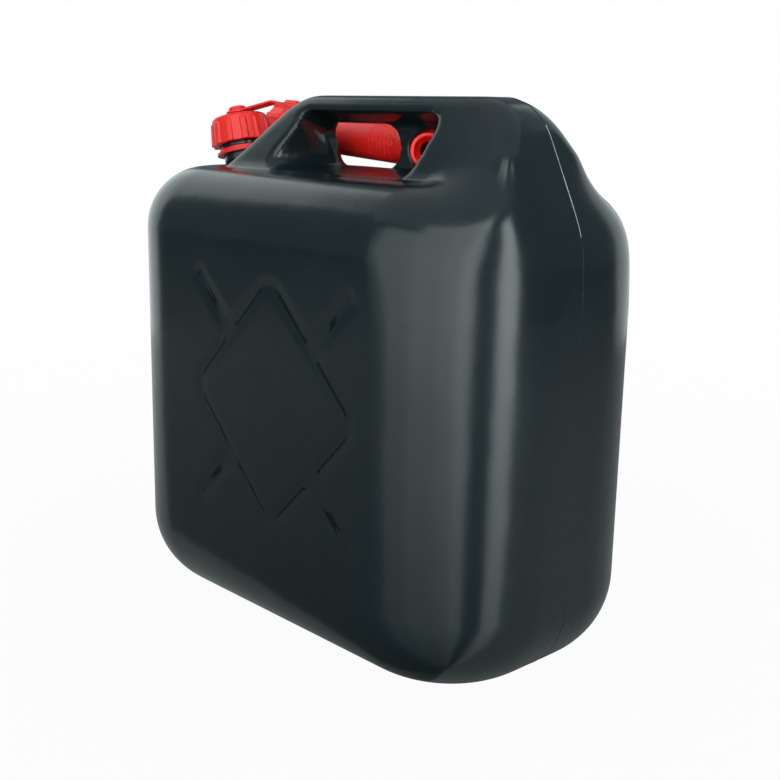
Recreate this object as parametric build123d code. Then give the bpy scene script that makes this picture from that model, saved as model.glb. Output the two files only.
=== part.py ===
from build123d import *
import math
import os

# A blow-moulded 20 litre fuel can with a grip bridge over its shoulder, a screw cap on a
# leaning neck, a strap that holds the cap, and a pouring spout stowed behind the grip.
# Millimetres. Z is up, X runs along the can towards the end with the tall handle block,
# and Y is the depth, with the embossed front face at -Y. The origin is the middle of the base.

# Can body
body_length = 376.0
body_depth = 212.0
shoulder_height = 325.0
plan_corner_radius = 85.0
base_edge_radius = 60.0
shoulder_edge_radius = 45.0
wall = 3.0

# Handle bridge
handle_top = 377.5
handle_crest_width = 29.6
handle_side_lean = 31.8
handle_offset = 8.1
handle_near_rounding = 11.0
handle_far_rounding = 13.0
left_corner_x = -56.0
left_slope_angle = 46.0
left_crest_radius = 45.0
right_corner_x = 145.7
right_slope_angle = 64.0
right_crest_radius = 43.0
bridge_root_depth = 60.0
foot_flare_radius = 10.0

# Hand opening: a funnel on each side of a thin web at the mould's parting plane. The left end
# of the funnel on the far side runs out as a channel for the spout.
opening_left_top = -44.0
opening_left_foot = -57.0
opening_right_top = 98.0
opening_right_foot = 86.0
opening_top = 370.5
opening_top_corner = 9.0
opening_foot_corner = 13.0
opening_floor_lift = 0.6
channel_start = -140.0
channel_end = -30.0
channel_depth = 8.0
channel_floor = 327.0
channel_top = 362.0
web_thickness = 4.0
web_left_top = -57.0
web_left_foot = -38.0
web_right = 80.0
web_top = 359.5
web_floor = 328.0
finger_hole_right_top = 14.0
finger_hole_right_mid = 27.0
finger_hole_right_foot = 18.0
finger_hole_mid_height = 344.0
opening_depth = 40.0
funnel_reach = 75.0
finger_hole_lip = 1.2

# Neck, along its own leaning axis from the shoulder
neck_x = -150.0
neck_lean = 15.0
neck_radius = 16.2
neck_bore_radius = 13.2
neck_root = 16.0
neck_bead_radius = 17.6
neck_bead_height = 13.2
neck_bead_thickness = 1.6

# Screw thread shared by the neck, the cap and the spout nut
thread_pitch = 6.0
thread_depth = 1.6
thread_root_width = 2.6
thread_crest_width = 1.3
thread_turns = 1.5
thread_fit = 0.35
thread_start = 18.6
thread_backlash = 0.2
cap_thread_skip = 0.2
cap_thread_turns = 1.2
thread_bite = 0.4

# Screw cap
cap_base_height = 15.6
cap_height = 21.4
cap_top_thickness = 2.4
cap_top_radius = 21.4
cap_rim_radius = 23.2
cap_edge_radius = 3.0
cap_rib_count = 12
cap_rib_width = 4.6
cap_rib_proud = 1.5
cap_rib_top_gap = 4.4
knob_waist_radius = 4.6
knob_waist_height = 5.0
knob_head_radius = 6.8
knob_head_height = 2.8
knob_edge_radius = 0.9
seal_thickness = 1.6
seal_clearance = 0.3

# Strap that keeps the cap with the can
ring_height = 7.8
ring_radius = 21.3
ring_thickness = 2.2
ring_hub_radius = 18.8
ring_hub_height = 4.6
ring_fit = 0.35
strap_width = 12.0
strap_thickness = 1.8
strap_swing = 20.0
eye_radius = 9.2
eye_thickness = 2.0
eye_fit = 0.35
strap_arch_reach = 36.0
strap_loop_reach = 53.0
strap_loop_height = 28.0
strap_arch_radius = 8.0
strap_loop_radius = 10.0

# Stowed spout
spout_tube_radius = 14.0
spout_wall = 1.8
spout_end = (-163.0, 50.5, 352.0)
spout_corner = (20.0, 33.9, 342.2)
spout_mouth = (64.5, -11.5, 342.6)
spout_bend_radius = 70.0
spout_tip_radius = 11.0
spout_tip_length = 33.0
spout_lip_radius = 11.9
spout_lip_width = 2.2
spout_step_radii = (7.6, 5.8)
spout_step_depth = 9.0
spout_step_length = 4.0
ridge_pitch = 2.8
ridge_width = 1.5
ridge_depth = 0.7
ridged_length = 84.0
flange_thickness = 2.4
flange_fit = 0.5
nut_length = 20.0
nut_end_thickness = 2.6
nut_radius = 21.4
nut_rib_count = 12
keeper_fit = 0.6
cradle_x = -124.0
cradle_length = 18.0
cradle_inner_y = 26.0
cradle_outer_y = 62.0
cradle_below_axis = 3.0
cradle_corner_radius = 3.0
cradle_root_depth = 9.0
cradle_fit = 0.3

# Embossed front: a sunk band round a square set on its corner, with four arms
emboss_center_x = 16.0
emboss_center_z = 177.0
emboss_half_width = 78.0
emboss_band = 9.0
emboss_arm_width = 12.0
emboss_reach = 116.0
emboss_depth = 1.0
emboss_corner_radius = 9.0

# Small extra lengths that let cutting shapes pass right through
overcut = 1.0

# Values that follow from the ones above
neck_height = cap_base_height + cap_height - cap_top_thickness - seal_thickness
thread_crest_radius = neck_radius + thread_depth
screw_bore_radius = thread_crest_radius + thread_fit
thread_mean_gap = (thread_root_width + thread_crest_width) / 2
thread_slope = (thread_root_width - thread_crest_width) / thread_depth
cap_thread_drop = thread_mean_gap - thread_slope * thread_fit / 2 + thread_backlash
lean = math.radians(neck_lean)
neck_plane = Plane(origin=(neck_x, 0, shoulder_height),
                   x_dir=(math.cos(lean), 0, math.sin(lean)),
                   z_dir=(-math.sin(lean), 0, math.cos(lean)))


def keep(part, name):
    """Write one sub-part to its own file."""
    export_step(part, os.path.join("parts", name + ".step"))


def lower(solid, z):
    """The edges of a solid that lie wholly at one height."""
    return [e for e in solid.edges()
            if abs(e.bounding_box().min.Z - z) < 0.01 and abs(e.bounding_box().max.Z - z) < 0.01]


def rounded_block(inset):
    """The main volume, or its inside when it is inset by a wall."""
    plan = RectangleRounded(body_length - 2 * inset, body_depth - 2 * inset,
                            plan_corner_radius - inset)
    block = extrude(plan, shoulder_height - 2 * inset)
    block = Pos(0, 0, inset) * block
    block = fillet(lower(block, inset), base_edge_radius - inset)
    return fillet(lower(block, shoulder_height - inset), shoulder_edge_radius - inset)


def handle_side_profile():
    """Side view of the bridge: a slope up, a flat crest and a slope down the end."""
    root = shoulder_height - bridge_root_depth
    rise = handle_top - root
    left_foot = left_corner_x - rise / math.tan(math.radians(left_slope_angle))
    right_foot = right_corner_x + rise / math.tan(math.radians(right_slope_angle))
    outline = FilletPolyline(
        (left_foot, root), (left_corner_x, handle_top), (right_corner_x, handle_top),
        (right_foot, root),
        radius=[left_crest_radius, right_crest_radius])
    return Plane.XZ * make_face([outline, Line((right_foot, root), (left_foot, root))])


def handle_end_profile():
    """End view of the bridge: a crest with sides that lean outwards as they go down."""
    root = shoulder_height - bridge_root_depth
    spread = (handle_top - root) * math.tan(math.radians(handle_side_lean))
    near = -handle_offset - handle_crest_width / 2
    far = -handle_offset + handle_crest_width / 2
    corners = [(near - spread, root), (near, handle_top), (far, handle_top), (far + spread, root)]
    return Plane.YZ * make_face(Polyline(*corners, close=True))


def bridge(inset):
    """The whole handle ridge before the hand opening, or its inside when inset."""
    side = handle_side_profile()
    end = handle_end_profile()
    if inset > 0:
        side = offset(side, amount=-inset)
        end = offset(end, amount=-inset)
    solid = extrude(side, body_depth / 2, both=True) & extrude(end, body_length, both=True)
    crest_z = handle_top - inset

    def long_edges(y_sign):
        chosen = []
        for edge in solid.edges():
            box = edge.bounding_box()
            middle = edge.center()
            outer = (middle.Y + handle_offset) * y_sign > 0
            spans_x = box.size.X > overcut
            above_root = middle.Z > shoulder_height - bridge_root_depth + inset + overcut
            if outer and spans_x and above_root and box.max.Z <= crest_z + overcut:
                chosen.append(edge)
        return chosen

    near_radius = handle_near_rounding - inset
    far_radius = handle_far_rounding - inset
    solid = fillet(long_edges(-1), near_radius)
    solid = fillet(long_edges(1), far_radius)
    plan = RectangleRounded(body_length - 2 * inset, body_depth - 2 * inset,
                            plan_corner_radius - inset)
    return solid & extrude(plan, handle_top)


def block_with_bridge():
    """The outside of the block and the bridge, with a hollow flare at the bridge's foot."""
    joined = rounded_block(0) + bridge(0)
    spread = (handle_top - shoulder_height) * math.tan(math.radians(handle_side_lean))
    half_foot = handle_crest_width / 2 + spread
    foot = []
    for edge in lower(joined, shoulder_height):
        box = edge.bounding_box()
        from_middle = abs(edge.center().Y + handle_offset)
        on_left_slope = box.max.X < left_corner_x
        on_long_side = abs(from_middle - half_foot) < overcut and box.size.X > box.size.Y
        if on_left_slope and from_middle < half_foot + overcut and box.max.Y < half_foot:
            foot.append(edge)
        elif on_long_side:
            foot.append(edge)
    return fillet(foot, foot_flare_radius)


def hand_opening(side, outset):
    """The funnel that is cut from one side down to the web. Outset keeps a wall round it."""
    inner_y = web_thickness / 2 - outset
    t = outset
    floor = shoulder_height + opening_floor_lift
    stretch = (funnel_reach - web_thickness / 2) / (opening_depth - web_thickness / 2)
    left_top = web_left_top + (opening_left_top - web_left_top) * stretch
    left_foot = web_left_foot + (opening_left_foot - web_left_foot) * stretch
    right_top = web_right + (opening_right_top - web_right) * stretch
    right_foot = web_right + (opening_right_foot - web_right) * stretch
    top = web_top + (opening_top - web_top) * stretch
    outside = [(left_top - t, top + t), (right_top + t, top + t),
               (right_foot + t, floor - t), (left_foot - t, floor - t)]
    inside = [(web_left_top - t, web_top + t), (web_right + t, web_top + t),
              (web_right + t, web_floor - t), (web_left_foot - t, web_floor - t)]

    def outline(corners, y):
        top_corner = opening_top_corner + t
        foot_corner = opening_foot_corner + t
        closed = FilletPolyline(*corners, close=True,
                                radius=[top_corner, top_corner, foot_corner, foot_corner])
        return Pos(0, side * y, 0) * (Plane.XZ * make_face(closed))

    return loft([outline(outside, funnel_reach), outline(inside, inner_y)], ruled=True)


def spout_channel(outset):
    """The far side of the left leg is cut back here, so that the spout lies along it."""
    size = (channel_end - channel_start, funnel_reach - channel_depth + outset,
            channel_top - channel_floor + 2 * outset)
    corner = (channel_start, channel_depth - outset, channel_floor - outset)
    return Pos(*corner) * Box(*size, align=(Align.MIN, Align.MIN, Align.MIN))


def finger_hole():
    """The hole through the web, straight on the left and bowed on the right."""
    reach = channel_depth + web_thickness
    top = web_top - finger_hole_lip
    floor = web_floor + finger_hole_lip
    right = ThreePointArc((finger_hole_right_top, top),
                          (finger_hole_right_mid, finger_hole_mid_height),
                          (finger_hole_right_foot, floor))
    left = Polyline((finger_hole_right_foot, floor), (web_left_foot + finger_hole_lip, floor),
                    (web_left_top + 2 * finger_hole_lip, top), (finger_hole_right_top, top))
    face = make_face([right, left])
    return Pos(0, channel_depth, 0) * extrude(Plane.XZ * face, reach)


def upright(radius, height, base=0.0):
    """A cylinder that stands on a given height."""
    return Pos(0, 0, base) * Cylinder(radius, height,
                                      align=(Align.CENTER, Align.CENTER, Align.MIN))


def thread_ridge(root_radius, crest_radius, start, turns):
    """A right-handed ridge about Z, from its root surface out or in to its crest."""
    bite = math.copysign(thread_bite, root_radius - crest_radius)
    half_root = thread_root_width / 2
    half_crest = thread_crest_width / 2
    outline = Polyline((root_radius + bite, -half_root), (root_radius, -half_root),
                       (crest_radius, -half_crest), (crest_radius, half_crest),
                       (root_radius, half_root), (root_radius + bite, half_root), close=True)
    path = Helix(thread_pitch, thread_pitch * turns, root_radius)
    ridge = sweep(Plane.XZ * make_face(outline), path=path, is_frenet=True)
    return Pos(0, 0, start) * ridge


def inner_thread(base_turn):
    """The ridge inside the cap or the nut, in mesh below the one on the neck."""
    crest = screw_bore_radius - thread_depth
    start = thread_start - cap_thread_drop + base_turn * thread_pitch
    ridge = thread_ridge(screw_bore_radius, crest, start, cap_thread_turns)
    return Rot(0, 0, 360 * base_turn) * ridge


def neck_outside():
    """The neck with its thread and the bead that keeps the strap's ring down."""
    neck = upright(neck_radius, neck_height + neck_root, -neck_root)
    bead = upright(neck_bead_radius, neck_bead_thickness, neck_bead_height)
    thread = thread_ridge(neck_radius, thread_crest_radius, thread_start, thread_turns)
    return neck + bead + thread


def neck_bore():
    return upright(neck_bore_radius, neck_height + neck_root + 2 * overcut, -neck_root - overcut)


def spout_path():
    """The centre line of the stowed spout: straight, then one bend into the keeper hole."""
    return FilletPolyline(spout_end, spout_corner, spout_mouth, radius=spout_bend_radius)


def spout_plane(length):
    """A plane square to the spout's centre line, a given length from its screw end."""
    path = spout_path()
    at = length / path.length
    return Plane(origin=path @ at, z_dir=path % at)


def spout_rod(radius, start, end):
    """A round rod along the spout's centre line, between two lengths."""
    path = spout_path()
    piece = path.trim(start / path.length, end / path.length)
    return sweep(spout_plane(start) * Circle(radius), path=piece)


def cradle():
    """A moulded block on the far shoulder that carries the spout's tube."""
    depth = cradle_outer_y - cradle_inner_y
    axis_height = spout_end[2] - cradle_below_axis
    root = shoulder_height - cradle_root_depth
    block = Box(cradle_length, depth, axis_height - root,
                align=(Align.MIN, Align.MIN, Align.MIN))
    block = fillet(block.edges().filter_by(Axis.Z), cradle_corner_radius)
    return Pos(cradle_x, cradle_inner_y, root) * block


def embossing():
    """The sunk band round the square, with its four arms, as a cutting shape."""
    half = emboss_half_width * math.sqrt(2)
    square = RectangleRounded(half, half, emboss_corner_radius)
    rim = RectangleRounded(half + 2 * emboss_band, half + 2 * emboss_band,
                           emboss_corner_radius + emboss_band)
    arms = Rectangle(2 * emboss_reach, emboss_arm_width)
    arms += Rectangle(emboss_arm_width, 2 * emboss_reach)
    cross = rim + arms
    pattern = Rot(0, 0, 45) * (cross - square)
    front = Plane(origin=(emboss_center_x, -body_depth / 2, emboss_center_z),
                  x_dir=(1, 0, 0), z_dir=(0, 1, 0))
    return front * extrude(pattern, emboss_depth)


def outside_with_openings():
    """The outside of the block and bridge with both funnels, the finger hole and the channel."""
    solid = block_with_bridge() - hand_opening(-1, 0) - hand_opening(1, 0)
    return solid - finger_hole() - spout_channel(0)


def can_body():
    """The blown shell: block, bridge, neck and cradle, less the openings and the inside."""
    outside = outside_with_openings() + neck_plane * neck_outside() + cradle()
    inside = rounded_block(wall) + bridge(wall)
    inside -= hand_opening(-1, wall)
    inside -= hand_opening(1, wall)
    inside -= spout_channel(wall)
    shell = outside - inside - neck_plane * neck_bore()
    length = spout_path().length
    shell -= spout_rod(spout_tube_radius + cradle_fit, nut_length + overcut,
                       length - spout_tip_length)
    shell -= spout_rod(spout_lip_radius + keeper_fit, length - spout_tip_length - overcut,
                       length)
    return shell - embossing()


def grip_rib(length, top_radius, rim_radius):
    """One raised grip rib, before it is turned to its place round a skirt."""
    outline = Polyline((top_radius - cap_rib_proud, 0), (rim_radius + cap_rib_proud, 0),
                       (top_radius + cap_rib_proud, length), (top_radius - cap_rib_proud, length),
                       close=True)
    rib = extrude(Plane.XZ * make_face(outline), cap_rib_width / 2, both=True)
    return rib


def screw_cap():
    """The cap about its own axis, from its rim at zero up to the knob."""
    skirt = Cone(cap_rim_radius, cap_top_radius, cap_height,
                 align=(Align.CENTER, Align.CENTER, Align.MIN))
    skirt = fillet(lower(skirt, cap_height), cap_edge_radius)
    rib_length = cap_height - cap_rib_top_gap
    for index in range(cap_rib_count):
        skirt += Rot(0, 0, 360 / cap_rib_count * index) * grip_rib(
            rib_length, cap_top_radius, cap_rim_radius)
    skirt -= upright(screw_bore_radius, cap_height - cap_top_thickness + overcut, -overcut)
    skirt += Pos(0, 0, -cap_base_height) * inner_thread(cap_thread_skip)
    knob = upright(knob_waist_radius, knob_waist_height + overcut, cap_height - overcut)
    head = upright(knob_head_radius, knob_head_height, cap_height + knob_waist_height)
    head = fillet(head.edges(), knob_edge_radius)
    return neck_plane * Pos(0, 0, cap_base_height) * (skirt + knob + head)


def washer(outer_radius, inner_radius, base):
    ring = upright(outer_radius, seal_thickness, base)
    return ring - upright(inner_radius, seal_thickness + 2 * overcut, base - overcut)


def cap_seal():
    """The flat washer between the neck's lip and the cap."""
    return neck_plane * washer(screw_bore_radius - seal_clearance, neck_bore_radius, neck_height)


def tether_strap():
    """Neck ring, looped band and knob eye, moulded as one flexible strap."""
    ring = upright(ring_radius, ring_thickness, ring_height)
    ring += upright(ring_hub_radius, ring_hub_height, ring_height)
    ring -= upright(neck_radius + ring_fit, ring_hub_height + 2 * overcut, ring_height - overcut)
    eye_base = cap_base_height + cap_height + knob_waist_height - eye_thickness - eye_fit
    eye = upright(eye_radius, eye_thickness, eye_base)
    eye -= upright(knob_waist_radius + eye_fit, eye_thickness + 2 * overcut, eye_base - overcut)
    eye_mid = eye_base + eye_thickness / 2
    ring_mid = ring_height + ring_thickness / 2
    eye_start = (eye_radius + knob_waist_radius) / 2
    ring_start = (ring_radius + neck_radius + ring_fit) / 2
    route = FilletPolyline((eye_start, eye_mid), (strap_arch_reach, eye_mid),
                           (strap_loop_reach, strap_loop_height),
                           (strap_arch_reach, ring_mid), (ring_start, ring_mid),
                           radius=[strap_arch_radius, strap_loop_radius, strap_arch_radius])
    band = extrude(Plane.XZ * trace(route, strap_thickness), strap_width / 2, both=True)
    return neck_plane * (ring + Rot(0, 0, strap_swing) * (eye + band))


def spout_tube():
    """Screw flange, plain tube, ridged flexible length and bare tip, moulded in one."""
    length = spout_path().length
    tip_start = length - spout_tip_length
    ridged_start = tip_start - ridged_length
    seat = nut_length - nut_end_thickness - flange_fit
    tube = spout_rod(spout_tube_radius, seat - flange_thickness, ridged_start)
    tube += spout_rod(spout_tube_radius - ridge_depth, ridged_start, tip_start)
    tube += spout_rod(spout_tip_radius, tip_start, length)
    tube += spout_plane(seat - flange_thickness) * upright(screw_bore_radius - flange_fit,
                                                           flange_thickness)
    tube += spout_plane(length - spout_lip_width) * upright(spout_lip_radius, spout_lip_width)
    for index in range(int(ridged_length / ridge_pitch)):
        place = spout_plane(ridged_start + index * ridge_pitch)
        tube += place * upright(spout_tube_radius, ridge_width)
    tube -= spout_rod(spout_tube_radius - spout_wall - ridge_depth, 0, tip_start - spout_wall)
    tube -= spout_rod(spout_tip_radius - spout_wall, tip_start - spout_wall - overcut, length)
    for index, inner_radius in enumerate(spout_step_radii):
        depth = spout_step_depth + spout_step_length * (index + 1)
        step = upright(spout_tip_radius - spout_wall / 2, spout_step_length)
        step -= upright(inner_radius, spout_step_length + 2 * overcut, -overcut)
        tube += spout_plane(length - depth) * step
    return tube


def spout_seal():
    """The washer inside the nut, on the flange's open face."""
    seat = nut_length - nut_end_thickness - flange_fit - flange_thickness
    return spout_plane(0) * washer(screw_bore_radius - flange_fit, neck_bore_radius,
                                   seat - seal_thickness)


def spout_nut():
    """The ribbed nut that turns on the tube and screws onto the neck."""
    nut = upright(nut_radius, nut_length)
    nut = fillet(lower(nut, nut_length), cap_edge_radius)
    for index in range(nut_rib_count):
        nut += Rot(0, 0, 360 / nut_rib_count * index) * grip_rib(
            nut_length - cap_rib_top_gap, nut_radius, nut_radius)
    nut -= upright(screw_bore_radius, nut_length - nut_end_thickness + overcut, -overcut)
    nut -= upright(spout_tube_radius + flange_fit, nut_length + 2 * overcut, -overcut)
    nut += Pos(0, 0, -cap_base_height) * inner_thread(cap_thread_skip)
    return spout_plane(0) * nut


if __name__ == "__main__":
    os.makedirs("parts", exist_ok=True)
    for make in (can_body, screw_cap, cap_seal, tether_strap, spout_tube, spout_nut, spout_seal):
        keep(make(), make.__name__)
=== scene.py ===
import math

import bmesh
import bpy
import numpy as np
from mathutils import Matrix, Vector


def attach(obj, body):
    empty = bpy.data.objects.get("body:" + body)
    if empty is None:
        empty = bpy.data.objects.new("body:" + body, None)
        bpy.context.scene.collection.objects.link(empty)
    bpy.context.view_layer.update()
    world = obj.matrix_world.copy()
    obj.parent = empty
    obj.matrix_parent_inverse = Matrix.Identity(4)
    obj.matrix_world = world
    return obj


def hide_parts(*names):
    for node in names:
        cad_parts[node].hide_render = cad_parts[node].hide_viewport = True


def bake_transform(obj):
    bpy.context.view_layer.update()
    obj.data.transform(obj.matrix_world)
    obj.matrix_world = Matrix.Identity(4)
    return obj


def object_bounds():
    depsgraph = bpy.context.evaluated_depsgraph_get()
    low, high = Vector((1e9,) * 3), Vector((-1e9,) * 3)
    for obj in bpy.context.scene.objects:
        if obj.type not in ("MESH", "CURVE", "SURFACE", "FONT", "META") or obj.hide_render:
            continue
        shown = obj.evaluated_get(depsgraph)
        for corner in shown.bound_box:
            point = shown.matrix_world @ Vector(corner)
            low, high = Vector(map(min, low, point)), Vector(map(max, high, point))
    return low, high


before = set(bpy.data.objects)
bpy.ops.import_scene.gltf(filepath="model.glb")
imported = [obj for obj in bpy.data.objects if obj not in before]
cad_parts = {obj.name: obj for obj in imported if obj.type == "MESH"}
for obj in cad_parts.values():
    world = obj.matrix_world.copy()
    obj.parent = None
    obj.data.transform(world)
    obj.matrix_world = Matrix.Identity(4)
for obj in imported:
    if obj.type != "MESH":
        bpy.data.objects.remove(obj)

# A blow-moulded fuel can in satin black with its red cap, strap and stowed spout.
# Metres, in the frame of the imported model: Z up, X along the can, the front face at -Y.

cad_low, cad_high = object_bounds()
MM = 0.001

# The leaning neck, as the solid model has it
neck_root = Vector((-0.150, 0.0, 0.325))
neck_axis = Vector((-math.sin(math.radians(15)), 0.0, math.cos(math.radians(15))))

neck_reach = 0.0186
neck_bore_radius = 0.0148
skin_end_level = 0.005
neck_start_level = 0.003

# The hand opening's far funnel, in mm: its outline at the web and at the handle's far face
web_face = 2.0
far_face = 75.0
funnel_middle = Vector((15.0, 2.0, 343.0))
funnel_wall = 3.2
funnel_crest = 371.0
handle_top = 377.5
handle_half_top = 6.7
handle_side_lean = math.radians(31.8)
channel_edge_x = -30.0
channel_roof = 361.0
channel_wall_end = 8.0

# The sunk pattern on the front
pattern_x = 0.016
pattern_z = 0.177
pattern_half_side = 0.0780 / math.sqrt(2)
pattern_corner = 0.009
pattern_band = 0.009
pattern_arm_half = 0.006
pattern_reach = 0.116
pattern_depth = 0.0007
pattern_softness = 0.0052
pattern_blend = 0.010
pattern_margin = 0.0060
body_triangles = 180000

# The raised line where the mould's halves met
seam_y = 0.0002
seam_radius = 0.00042
# Past seam_bold_x and above seam_bold_low the line is thicker; up to seam_bold_high that stretch
# is painted pale as a highlight
seam_bold_x = 0.11
seam_bold_low = 0.296
seam_bold_high = 0.361


# ---- Shader helpers ----

class Wire:
    """A shader socket that takes part in Python arithmetic."""

    def __init__(self, finish, socket):
        self.finish = finish
        self.socket = socket

    def math(self, operation, other):
        return self.finish.node("ShaderNodeMath", {"operation": operation}, {0: self, 1: other})

    def __add__(self, other):
        return self.math("ADD", other)

    __radd__ = __add__

    def __mul__(self, other):
        return self.math("MULTIPLY", other)

    __rmul__ = __mul__

    def __sub__(self, other):
        return self.math("SUBTRACT", other)

    def __rsub__(self, other):
        return self.finish.node("ShaderNodeMath", {"operation": "SUBTRACT"}, {0: other, 1: self})

    def __truediv__(self, other):
        return self.math("DIVIDE", other)

    def __rtruediv__(self, other):
        return self.finish.node("ShaderNodeMath", {"operation": "DIVIDE"}, {0: other, 1: self})

    def __pow__(self, other):
        return self.math("POWER", other)

    def __gt__(self, other):
        return self.math("GREATER_THAN", other)

    def __lt__(self, other):
        return self.math("LESS_THAN", other)


class Finish:
    """A material or world whose nodes are made one by one."""

    def __init__(self, owner):
        if isinstance(owner, str):
            owner = bpy.data.materials.new(owner)
        self.owner = owner
        owner.use_nodes = True
        self.tree = owner.node_tree
        self.tree.nodes.clear()

    def node(self, kind, settings=None, inputs=None, output=0):
        made = self.tree.nodes.new(kind)
        for key, value in (settings or {}).items():
            setattr(made, key, value)
        for key, value in (inputs or {}).items():
            target = made.inputs[key]
            if isinstance(value, Wire):
                self.tree.links.new(value.socket, target)
            else:
                target.default_value = value
        if output is None:
            return made
        return Wire(self, made.outputs[output])

    def place(self):
        """Where on the object the shader is."""
        return self.node("ShaderNodeTexCoord", output="Object")

    def noise(self, scale, detail, rough=0.5):
        return self.node("ShaderNodeTexNoise", {},
                         {"Vector": self.place(), "Scale": scale, "Detail": detail,
                          "Roughness": rough})

    def blend(self, factor, first, second):
        return self.node("ShaderNodeMix", {"data_type": "RGBA"}, {0: factor, 6: first, 7: second},
                         output=2)

    def bump(self, height, depth):
        return self.node("ShaderNodeBump", {},
                         {"Height": height, "Distance": depth, "Strength": 1.0})

    def surface(self, **inputs):
        """A principled surface, written to the material's output."""
        keys = {"colour": "Base Color", "roughness": "Roughness", "normal": "Normal",
                "ior": "IOR", "subsurface": "Subsurface Weight",
                "subsurface_radius": "Subsurface Radius", "subsurface_scale": "Subsurface Scale"}
        shader = self.node("ShaderNodeBsdfPrincipled", {},
                           {keys[k]: v for k, v in inputs.items()})
        self.node("ShaderNodeOutputMaterial", {}, {"Surface": shader}, output=None)
        return self.owner


def black_polyethylene():
    """Satin black blow-moulded polyethylene with a faint wave and fine grain."""
    f = Finish("black_polyethylene")
    wave = f.noise(14.0, 1.0, 0.4)
    ripple = f.noise(55.0, 1.0, 0.5)
    grain = f.noise(1900.0, 2.0, 0.6)
    mottle = f.noise(38.0, 3.0, 0.6)
    pits = f.node("ShaderNodeTexVoronoi", {"feature": "F1"},
                  {"Vector": f.place(), "Scale": 46.0, "Randomness": 1.0})
    speck = (pits < 0.028) * (f.noise(7.0, 0.0) > 0.56)
    colour = f.blend(mottle * 0.35 + speck * 0.4, (0.0050, 0.0105, 0.0118, 1),
                     (0.0095, 0.0165, 0.0182, 1))
    rough = 0.150 + mottle * 0.05 + grain * 0.03
    height = wave * 0.62 + ripple * 0.09 + grain * 0.012 + speck * 0.05
    return f.surface(colour=colour, roughness=rough, normal=f.bump(height, 0.0016), ior=1.5)


def painted_seam_highlight():
    """A painted highlight: a pale colour for the stretch of the parting line on the handle's end
    slope, where its ridge catches the light.
    """
    f = Finish("painted_seam_highlight")
    grain = f.noise(420.0, 3.0, 0.6)
    colour = f.blend(grain, (0.16, 0.18, 0.18, 1), (0.42, 0.45, 0.45, 1))
    return f.surface(colour=colour, roughness=0.42 + grain * 0.1,
                     normal=f.bump(grain, 0.0001), ior=1.5)


def red_polyethylene(name, depth):
    """Bright red injection-moulded polyethylene, half gloss. A depth below one darkens the red as
    painted shade, for pieces that catch more light than the spout.
    """
    f = Finish(name)
    cloud = f.noise(60.0, 2.0, 0.5)
    grain = f.noise(1500.0, 2.0, 0.6)
    colour = f.blend(cloud, (0.88 * depth, 0.012, 0.010, 1),
                     (0.97 * depth, 0.022, 0.017, 1))
    rough = 0.30 + cloud * 0.10
    height = cloud * 0.18 + grain * 0.02
    return f.surface(colour=colour, roughness=rough, normal=f.bump(height, 0.0008), ior=1.46,
                     subsurface=0.12, subsurface_radius=(1.0, 0.25, 0.2), subsurface_scale=0.002)


def black_rubber():
    """Matt rubber for the two washers."""
    f = Finish("black_rubber")
    grain = f.noise(900.0, 3.0, 0.6)
    colour = f.blend(grain, (0.010, 0.010, 0.011, 1), (0.022, 0.022, 0.023, 1))
    return f.surface(colour=colour, roughness=0.68 + grain * 0.12,
                     normal=f.bump(grain, 0.0002), ior=1.5)


# ---- Mesh helpers ----

def paint(obj, material):
    obj.data.materials.clear()
    obj.data.materials.append(material)


def copy_of(node, name):
    """A new object with a welded copy of a CAD node's mesh."""
    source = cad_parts[node]
    mesh = source.data.copy()
    obj = bpy.data.objects.new(name, mesh)
    bpy.context.collection.objects.link(obj)
    mesh.name = name
    work = bmesh.new()
    work.from_mesh(mesh)
    bmesh.ops.remove_doubles(work, verts=work.verts, dist=1e-6)
    work.to_mesh(mesh)
    work.free()
    for mark in ("custom_normal", "sharp_face", "sharp_edge"):
        if mark in mesh.attributes:
            mesh.attributes.remove(mesh.attributes[mark])
    return obj


def bake_modifiers(obj):
    """Turn the object's modifiers into its mesh."""
    graph = bpy.context.evaluated_depsgraph_get()
    mesh = bpy.data.meshes.new_from_object(obj.evaluated_get(graph))
    old = obj.data
    obj.modifiers.clear()
    obj.data = mesh
    bpy.data.meshes.remove(old)
    mesh.name = obj.name


def soften(obj, voxel, passes):
    """Remesh a solid evenly and round its edges, as a mould does."""
    remesh = obj.modifiers.new("remesh", "REMESH")
    remesh.mode = "VOXEL"
    remesh.voxel_size = voxel
    remesh.use_smooth_shade = True
    smooth = obj.modifiers.new("smooth", "SMOOTH")
    smooth.factor = 0.5
    smooth.iterations = passes
    bake_modifiers(obj)


def thin_out(obj, limit):
    """Fewer triangles where the surface is flat, if there are more than the limit."""
    triangles = sum(len(p.vertices) - 2 for p in obj.data.polygons)
    if triangles > limit:
        decimate = obj.modifiers.new("decimate", "DECIMATE")
        decimate.ratio = limit / triangles
        bake_modifiers(obj)
    smooth_shade(obj)


def smooth_shade(obj):
    obj.data.polygons.foreach_set("use_smooth", np.ones(len(obj.data.polygons), bool))
    obj.data.update()


def points_of(mesh):
    flat = np.empty(len(mesh.vertices) * 3)
    mesh.vertices.foreach_get("co", flat)
    return flat.reshape(-1, 3)


def set_points(mesh, points):
    mesh.vertices.foreach_set("co", points.ravel())
    mesh.update()


def edges_of(mesh):
    flat = np.empty(len(mesh.edges) * 2, int)
    mesh.edges.foreach_get("vertices", flat)
    return flat.reshape(-1, 2)


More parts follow.
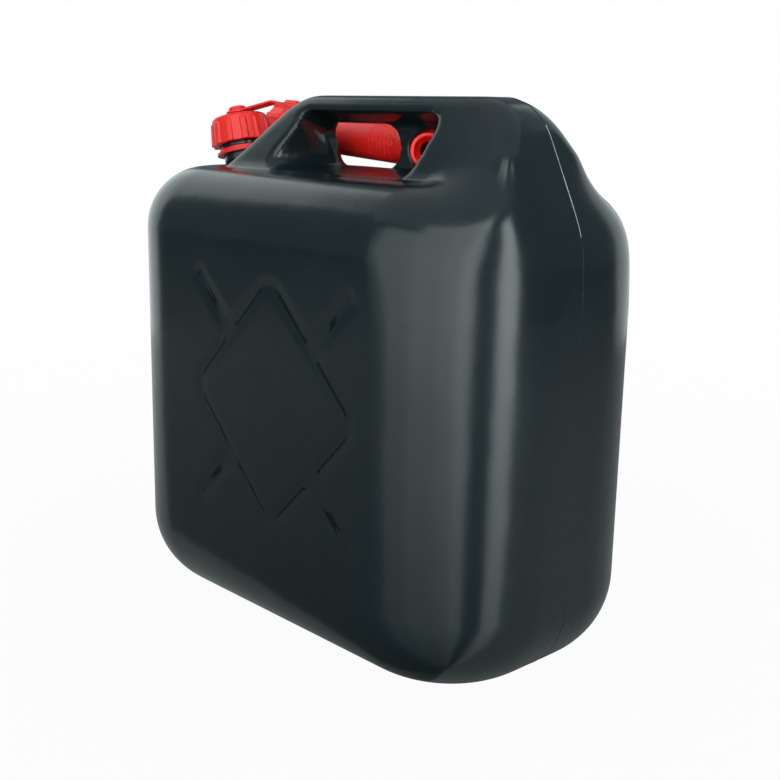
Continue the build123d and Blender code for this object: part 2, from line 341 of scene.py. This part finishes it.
def relax(mesh, points, weight, passes):
    """Draw each point towards its neighbours' middle, more where its weight is higher."""
    edges = edges_of(mesh)
    edges = edges[(weight[edges] > 0).any(axis=1)]
    used, local = np.unique(edges, return_inverse=True)
    local = local.reshape(-1, 2)
    ends = np.concatenate([local[:, 0], local[:, 1]])
    others = np.concatenate([local[:, 1], local[:, 0]])
    count = np.bincount(ends, minlength=len(used))
    place = points[used]
    pull = (weight[used] / np.maximum(count, 1))[:, None]
    for _ in range(passes):
        total = np.stack([np.bincount(ends, place[others, axis], len(used)) for axis in range(3)],
                         axis=1)
        place = place + 0.6 * pull * (total - place * count[:, None])
    points[used] = place
    return points


def ramp(value, start, end):
    """A smooth step from zero at start to one at end."""
    t = np.clip((value - start) / (end - start), 0, 1)
    return t * t * (3 - 2 * t)


def keep_in_box(obj):
    """No point of the piece lies outside the solid model's box."""
    points = points_of(obj.data)
    set_points(obj.data, np.clip(points, np.array(cad_low), np.array(cad_high)))


def mesh_object(name, points, faces):
    mesh = bpy.data.meshes.new(name)
    mesh.from_pydata([tuple(p) for p in points], [], faces)
    mesh.validate()
    obj = bpy.data.objects.new(name, mesh)
    bpy.context.collection.objects.link(obj)
    smooth_shade(obj)
    return obj


# ---- The can's body ----

def neck_place(points):
    """Distance from the neck's axis and height along it, for an array of points."""
    offset = points - np.array(neck_root)
    height = offset @ np.array(neck_axis)
    away = np.linalg.norm(offset - np.outer(height, np.array(neck_axis)), axis=1)
    return away, height


def cut_neck(obj, level, keep_top):
    """Cut only the neck's own faces square to its axis and keep one side."""
    work = bmesh.new()
    work.from_mesh(obj.data)
    points = np.array([v.co[:] for v in work.verts])
    away, height = neck_place(points)
    near = (away < neck_reach) & (height > -0.030)
    chosen = [f for f in work.faces if all(near[v.index] for v in f.verts)]
    if keep_top:
        bmesh.ops.delete(work, geom=[f for f in work.faces if f not in set(chosen)],
                         context="FACES")
        chosen = list(work.faces)
    edges = list({e for f in chosen for e in f.edges})
    verts = list({v for f in chosen for v in f.verts})
    bmesh.ops.bisect_plane(work, geom=chosen + edges + verts, dist=1e-7,
                           plane_co=neck_root + neck_axis * level, plane_no=neck_axis,
                           clear_inner=keep_top, clear_outer=not keep_top)
    work.to_mesh(obj.data)
    work.free()


def close_holes(obj):
    """Close every open rim with a face."""
    work = bmesh.new()
    work.from_mesh(obj.data)
    bmesh.ops.holes_fill(work, edges=[e for e in work.edges if e.is_boundary], sides=0)
    work.to_mesh(obj.data)
    work.free()


def largest_skin(mesh):
    """Keep only the connected skin with the most points: the outer one."""
    edges = edges_of(mesh)
    label = np.arange(len(mesh.vertices))
    while True:
        lowest = np.minimum(label[edges[:, 0]], label[edges[:, 1]])
        before = label.copy()
        np.minimum.at(label, edges[:, 0], lowest)
        np.minimum.at(label, edges[:, 1], lowest)
        label = label[label]
        if (label == before).all():
            break
    main = np.bincount(label).argmax()
    lost = np.nonzero(label != main)[0]
    if len(lost):
        work = bmesh.new()
        work.from_mesh(mesh)
        work.verts.ensure_lookup_table()
        bmesh.ops.delete(work, geom=[work.verts[k] for k in lost], context="VERTS")
        work.to_mesh(mesh)
        work.free()


def funnel_outline(depth):
    """The hand opening's rounded outline at a depth from the parting plane, in mm."""
    share = (depth - web_face) / 38.0
    inner = ((-57.0, 359.5), (80.0, 359.5), (80.0, 328.0), (-38.0, 328.0))
    sill = 328.0 - 2.4 * 38.0 / (far_face - web_face)
    outer = ((-44.0, 370.5), (98.0, 370.5), (86.0, sill), (-57.0, sill))
    corners = [Vector((a[0] + (b[0] - a[0]) * share, a[1] + (b[1] - a[1]) * share))
               for a, b in zip(inner, outer)]
    points = []
    for index, radius in enumerate((9.0, 9.0, 13.0, 13.0)):
        corner = corners[index]
        before = (corners[index - 1] - corner).normalized()
        after = (corners[(index + 1) % 4] - corner).normalized()
        half = before.angle(after) / 2
        middle = corner + (before + after).normalized() * (radius / math.sin(half))
        start = corner + before * (radius / math.tan(half))
        end = corner + after * (radius / math.tan(half))
        first, last = start - middle, end - middle
        sweep = first.angle(last)
        for k in range(9):
            a = sweep * k / 8
            mix = (first * math.sin(sweep - a) + last * math.sin(a)) / math.sin(sweep)
            points.append(middle + mix)
    return points


def past_handle(p):
    """How far a point in mm lies past the handle's sloping far side, less 1 mm."""
    side = handle_half_top + (handle_top - p.z) * math.tan(handle_side_lean)
    return (p.y - side) * math.cos(handle_side_lean) + 1.0


def far_funnel_wall():
    """The wall of the hand opening's far side, from the web out to the handle's far face."""
    near_line = funnel_outline(web_face)
    far_line = funnel_outline(far_face)
    rings = [[], [], [], []]
    count = len(near_line)
    for index in range(count):
        a = Vector((near_line[index].x, web_face, near_line[index].y))
        b = Vector((far_line[index].x, far_face, far_line[index].y))
        along = b - a
        t = -past_handle(a) / (past_handle(b) - past_handle(a))
        if (a + along * t).z > funnel_crest:
            t = min(t, (funnel_crest - a.z) / along.z)
        if (a + along * t).x < channel_edge_x and a.z < channel_roof:
            t = min(t, (channel_wall_end - web_face) / along.y)
        back = a - along * (3.0 / along.y)
        front = a + along * t
        nxt = near_line[(index + 1) % count] - near_line[index - 1]
        out = Vector((-nxt.y, 0.0, nxt.x)).normalized() * funnel_wall
        if out.dot(a - funnel_middle) < 0:
            out = -out
        for ring, p in zip(rings, (back, front, front + out, back + out)):
            ring.append(p * MM)
    points = [p for ring in rings for p in ring]
    faces = []
    for r in range(4):
        for k in range(count):
            m = (k + 1) % count
            s = (r + 1) % 4
            faces.append((r * count + k, r * count + m, s * count + m, s * count + k))
    return mesh_object("far_funnel_wall", points, faces)


def join_mesh(obj, other):
    """Add the other object's mesh to the first one and delete the other."""
    work = bmesh.new()
    work.from_mesh(obj.data)
    work.from_mesh(other.data)
    work.to_mesh(obj.data)
    work.free()
    bpy.data.objects.remove(other, do_unlink=True)


def rounded_square(s, t, half, corner):
    """Signed distance to a square with rounded corners."""
    a = np.abs(s) - (half - corner)
    b = np.abs(t) - (half - corner)
    outside = np.hypot(np.maximum(a, 0), np.maximum(b, 0))
    return outside + np.minimum(np.maximum(a, b), 0) - corner


def soft_union(a, b, reach):
    """The smaller of two distances, rounded where they are alike."""
    mix = np.clip(0.5 + 0.5 * (b - a) / reach, 0, 1)
    return b * (1 - mix) + a * mix - reach * mix * (1 - mix)


def pattern_height(x, z):
    """How deep the front is sunk at a place, and how near the pattern is, from zero to one."""
    u = x - pattern_x
    v = z - pattern_z
    s = (u + v) / math.sqrt(2)
    t = (v - u) / math.sqrt(2)
    inner = rounded_square(s, t, pattern_half_side, pattern_corner)
    outer = rounded_square(s, t, pattern_half_side + pattern_band,
                           pattern_corner + pattern_band)
    arm_a = np.maximum(np.abs(t) - pattern_arm_half, np.abs(s) - pattern_reach)
    arm_b = np.maximum(np.abs(s) - pattern_arm_half, np.abs(t) - pattern_reach)
    shape = soft_union(soft_union(outer, arm_a, pattern_blend), arm_b, pattern_blend)
    shape = np.maximum(shape, -inner)
    near = ramp(-shape, -pattern_margin, -pattern_margin / 3)
    return ramp(-shape, -pattern_softness / 2, pattern_softness / 2), near


def melt_end_crease(mesh, points):
    """The handle's sloping end flows into the can's end, with no crease between them."""
    x, z = points[:, 0], points[:, 2]
    weight = ramp(x, 0.105, 0.135) * ramp(z, 0.245, 0.268) * ramp(-z, -0.345, -0.318)
    return relax(mesh, points, weight, 260)


def seam(skin, material, highlight_material):
    """The thin raised parting line of the two mould halves, with a painted highlight along one
    stretch.
    """
    work = bmesh.new()
    work.from_mesh(skin.data)
    cut = bmesh.ops.bisect_plane(work, geom=list(work.verts) + list(work.edges)
                                 + list(work.faces), plane_co=(0, seam_y, 0),
                                 plane_no=(0, 1, 0))["geom_cut"]
    left = {e for e in cut if isinstance(e, bmesh.types.BMEdge)}
    points = []
    faces = []
    highlit_faces = []
    sides = 6
    while left:
        edge = left.pop()
        chain = [edge.verts[0], edge.verts[1]]
        for grow_end in (True, False):
            while True:
                tip = chain[-1] if grow_end else chain[0]
                step = next((e for e in tip.link_edges if e in left), None)
                if step is None:
                    break
                left.remove(step)
                other = step.other_vert(tip)
                if grow_end:
                    chain.append(other)
                else:
                    chain.insert(0, other)
        if len(chain) < 8:
            continue
        first = len(points)
        for index, vert in enumerate(chain):
            before = chain[max(index - 1, 0)].co
            after = chain[min(index + 1, len(chain) - 1)].co
            along = (after - before).normalized()
            out = Vector(along.cross((0, 1, 0))).normalized()
            if out.dot(vert.normal) < 0:
                out = -out
            wave = math.sin(vert.co.x * 310) * math.sin(vert.co.z * 270 + 1.0)
            bold = 1.0 if vert.co.x > seam_bold_x and vert.co.z > seam_bold_low else 0.5
            radius = seam_radius * bold * (0.75 + 0.25 * wave)
            for k in range(sides):
                a = 2 * math.pi * k / sides
                points.append(vert.co + out * (math.cos(a) * radius)
                              + Vector((0, math.sin(a) * radius * 0.7, 0)))
        for row in range(len(chain) - 1):
            place = chain[row].co
            # painted highlight: faces of this stretch of the seam get the pale highlight colour
            highlit = place.x > seam_bold_x and seam_bold_low < place.z < seam_bold_high
            for k in range(sides):
                highlit_faces.append(highlit)
                a = first + row * sides + k
                b = first + row * sides + (k + 1) % sides
                faces.append((a, b, b + sides, a + sides))
    work.free()
    obj = mesh_object("seam", points, faces)
    keep_in_box(obj)
    # the second material is the painted seam highlight
    paint(obj, material)
    obj.data.materials.append(highlight_material)
    obj.data.polygons.foreach_set("material_index", [int(w) for w in highlit_faces])
    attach(obj, "can")
    return obj


def body_skin(material):
    """The can's outer skin with soft creases and the sunk pattern."""
    obj = copy_of("can_body", "body_skin")
    cut_neck(obj, skin_end_level, keep_top=False)
    close_holes(obj)
    join_mesh(obj, far_funnel_wall())
    voxel = 0.0018
    soften(obj, voxel, 14)
    largest_skin(obj.data)
    points = melt_end_crease(obj.data, points_of(obj.data))
    flat = points[:, 1] < cad_low[1] + 0.0030
    deep, near = pattern_height(points[:, 0], points[:, 2])
    sunk = cad_low[1] + 0.00004 + pattern_depth * deep
    points[flat, 1] = (points[:, 1] * (1 - near) + sunk * near)[flat]
    points = relax(obj.data, points, near * flat, 4)
    set_points(obj.data, points)
    work = bmesh.new()
    work.from_mesh(obj.data)
    away, height = neck_place(np.array([v.co[:] for v in work.verts]))
    hole = (away < neck_bore_radius) & (height > 0.001) & (height < 0.009)
    bmesh.ops.delete(work, geom=[v for v in work.verts if hole[v.index]], context="VERTS")
    work.to_mesh(obj.data)
    work.free()
    thin_out(obj, body_triangles)
    keep_in_box(obj)
    paint(obj, material)
    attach(obj, "can")
    return obj


def neck_piece(material):
    """The threaded neck above the shoulder."""
    obj = copy_of("can_body", "neck")
    cut_neck(obj, neck_start_level, keep_top=True)
    smooth_shade(obj)
    split = obj.modifiers.new("edges", "EDGE_SPLIT")
    split.split_angle = math.radians(35)
    bake_modifiers(obj)
    paint(obj, material)
    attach(obj, "can")
    return obj


# ---- The red pieces ----

def softened(node, name, voxel, passes, limit, material, body):
    """A red piece from its solid, with its edges rounded, riding on its body."""
    obj = copy_of(node, name)
    soften(obj, voxel * (1.0), passes)
    thin_out(obj, limit)
    keep_in_box(obj)
    paint(obj, material)
    if body:
        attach(obj, body)
    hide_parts(node)
    return obj


# ---- Camera, floor and lights ----

def camera():
    view = bpy.data.cameras.new("camera")
    view.lens = 55.012
    view.sensor_width = 36.0
    view.clip_start = 0.01
    obj = bpy.data.objects.new("camera", view)
    bpy.context.collection.objects.link(obj)
    azimuth = math.radians(46.4813)
    elevation = math.radians(13.1902)
    roll = math.radians(1.1221)
    back = Vector((math.sin(azimuth) * math.cos(elevation),
                   -math.cos(azimuth) * math.cos(elevation), math.sin(elevation)))
    right = Vector((math.cos(azimuth), math.sin(azimuth), 0))
    up = back.cross(right)
    across = right * math.cos(roll) + up * math.sin(roll)
    upright = up * math.cos(roll) - right * math.sin(roll)
    matrix = obj.matrix_world.copy()
    for row in range(3):
        matrix[row][0] = across[row]
        matrix[row][1] = upright[row]
        matrix[row][2] = back[row]
    matrix[0][3] = 0.626703
    matrix[1][3] = -0.575789
    matrix[2][3] = 0.367872
    obj.matrix_world = matrix
    bpy.context.scene.camera = obj


def floor():
    """A pale floor that shows white to the camera and keeps a soft shadow."""
    half = 6.0
    obj = mesh_object("floor", [(-half, -half, 0), (half, -half, 0), (half, half, 0),
                                (-half, half, 0)], [(0, 1, 2, 3)])
    f = Finish("floor")
    paths = f.node("ShaderNodeLightPath", output=None)
    to_camera = Wire(f, paths.outputs["Is Camera Ray"])
    matt = f.node("ShaderNodeBsdfDiffuse", {}, {"Color": (0.36, 0.36, 0.36, 1)})
    white = f.node("ShaderNodeEmission", {}, {"Color": (1, 1, 1, 1), "Strength": 1.0})
    away = f.node("ShaderNodeVectorMath", {"operation": "LENGTH"}, {0: f.place()}, output=1)
    shown = (0.955 + away * 0.03).math("MINIMUM", 1.0)
    both = f.node("ShaderNodeMixShader", {}, {0: to_camera * shown, 1: matt, 2: white})
    f.node("ShaderNodeOutputMaterial", {}, {"Surface": both}, output=None)
    paint(obj, f.owner)


def panel(name, start, end, height, radiance):
    """A soft light panel that stands on the floor between two angles and faces the can."""
    a = toward(start, panel_distance) + Vector((0, 0, height / 2))
    b = toward(end, panel_distance) + Vector((0, 0, height / 2))
    lamp = bpy.data.lights.new(name, "AREA")
    lamp.shape = "RECTANGLE"
    lamp.size = (b - a).length
    lamp.size_y = height
    lamp.energy = radiance * math.pi * lamp.size * lamp.size_y
    lamp.color = (0.92, 1.0, 1.0)
    obj = bpy.data.objects.new(name, lamp)
    bpy.context.collection.objects.link(obj)
    obj.location = (a + b) / 2
    across = (b - a).normalized()
    facing = across.cross(Vector((0, 0, 1)))
    if facing.dot(Vector((0, 0, 0.2)) - obj.location) < 0:
        facing = -facing
    obj.rotation_euler = facing.to_track_quat("-Z", "Y").to_euler()


near_corner = Vector((0.155, -0.075, 0.0))
panel_distance = 1.5
card_reach = 1.46
card_lift = Vector((0, 0, 0.0006))


def toward(angle, distance):
    """A floor point that far from the can's near corner, at an angle round from the front."""
    a = math.radians(angle)
    return near_corner + Vector((distance * math.sin(a), -distance * math.cos(a), 0.0))


def floor_card(name, start, end, far_glow):
    """A glowing card on the floor, a wedge from the near corner, that only gloss sees."""
    rim = [toward(start + (end - start) * k / 8, card_reach) - near_corner for k in range(9)]
    points = [card_lift] + [p + card_lift for p in rim]
    obj = mesh_object(name, points, [(0, k + 1, k + 2) for k in range(8)])
    obj.location = near_corner
    f = Finish(name)
    away = f.node("ShaderNodeVectorMath", {"operation": "LENGTH"}, {0: f.place()}, output=1)
    glow = (away / card_reach) ** 0.55 * far_glow
    colour = f.node("ShaderNodeCombineColor", {}, {0: glow * 0.92, 1: glow, 2: glow})
    light = f.node("ShaderNodeEmission", {}, {"Color": colour, "Strength": 1.0})
    f.node("ShaderNodeOutputMaterial", {}, {"Surface": light}, output=None)
    paint(obj, f.owner)
    obj.visible_camera = False
    obj.visible_diffuse = False
    obj.visible_shadow = False
    obj.visible_transmission = False


def lights():
    """Upright panels round the can, most with a card on the floor before them."""
    stands = (("left", -115, -76, 1.5, 0.95, 0.75), ("left_dark", -76, -30, 0, None, 0.30),
              ("front_a", -30, -20, 1.5, 0.45, 0.40), ("front_b", -20, 2, 1.7, 1.30, 1.25),
              ("front_c", 2, 28, 2.5, 1.70, 1.70), ("front_d", 28, 44, 2.5, 2.05, 2.10),
              ("front_e", 44, 58, 2.5, 3.10, 3.20), ("gap", 58, 79, 0, None, 0.16),
              ("end", 79, 97, 1.6, 4.90, 5.00), ("back", 165, 207, 1.4, 0.75, None))
    for name, start, end, height, radiance, glow in stands:
        if radiance:
            panel(name + "_panel", start, end, height, radiance)
        if glow:
            floor_card(name + "_card", start, end, glow)
    top = bpy.data.lights.new("top_panel", "AREA")
    top.shape = "RECTANGLE"
    top.size = 2.6
    top.size_y = 2.6
    top.energy = 0.34 * math.pi * top.size * top.size_y
    top.color = (0.93, 0.97, 1.0)
    obj = bpy.data.objects.new("top_panel", top)
    bpy.context.collection.objects.link(obj)
    obj.location = (0.0, 0.1, 1.7)
    fill = bpy.data.lights.new("fill", "AREA")
    fill.size = 2.0
    fill.energy = 15.0
    obj = bpy.data.objects.new("fill", fill)
    bpy.context.collection.objects.link(obj)
    obj.location = (1.0, -1.1, 0.55)
    obj.rotation_euler = Vector((1.0, -1.1, 0.25)).to_track_quat("Z", "Y").to_euler()
    obj.visible_glossy = False

    world = bpy.data.worlds.new("studio")
    bpy.context.scene.world = world
    f = Finish(world)
    paths = f.node("ShaderNodeLightPath", output=None)
    to_camera = Wire(f, paths.outputs["Is Camera Ray"])
    colour = f.blend(to_camera, (0.135, 0.175, 0.188, 1), (1, 1, 1, 1))
    back = f.node("ShaderNodeBackground", {}, {"Color": colour, "Strength": 1.0})
    f.node("ShaderNodeOutputWorld", {}, {"Surface": back}, output=None)


camera()
floor()
lights()

black = black_polyethylene()
red = red_polyethylene("red_polyethylene", 1.0)
# painted shade: a darker copy of the same red for the cap and strap, which catch more light than
# the spout tube
painted_shade_red = red_polyethylene("painted_shade_red_polyethylene", 0.78)
rubber = black_rubber()

skin = body_skin(black)
neck_piece(black)
seam(skin, black, painted_seam_highlight())
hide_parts("can_body")

# the cap and the strap get the darker red copy, which is painted shade
softened("screw_cap", "cap", 0.0005, 3, 70000, painted_shade_red, "cap")
softened("spout_nut", "nut", 0.0005, 3, 60000, red, "nut")
softened("spout_tube", "spout", 0.0006, 2, 120000, red, "can")
strap = softened("tether_strap", "strap", 0.0004, 3, 40000, painted_shade_red, None)
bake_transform(strap)
for node in ("cap_seal", "spout_seal"):
    paint(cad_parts[node], rubber)

bpy.context.scene.view_settings.view_transform = "Standard"
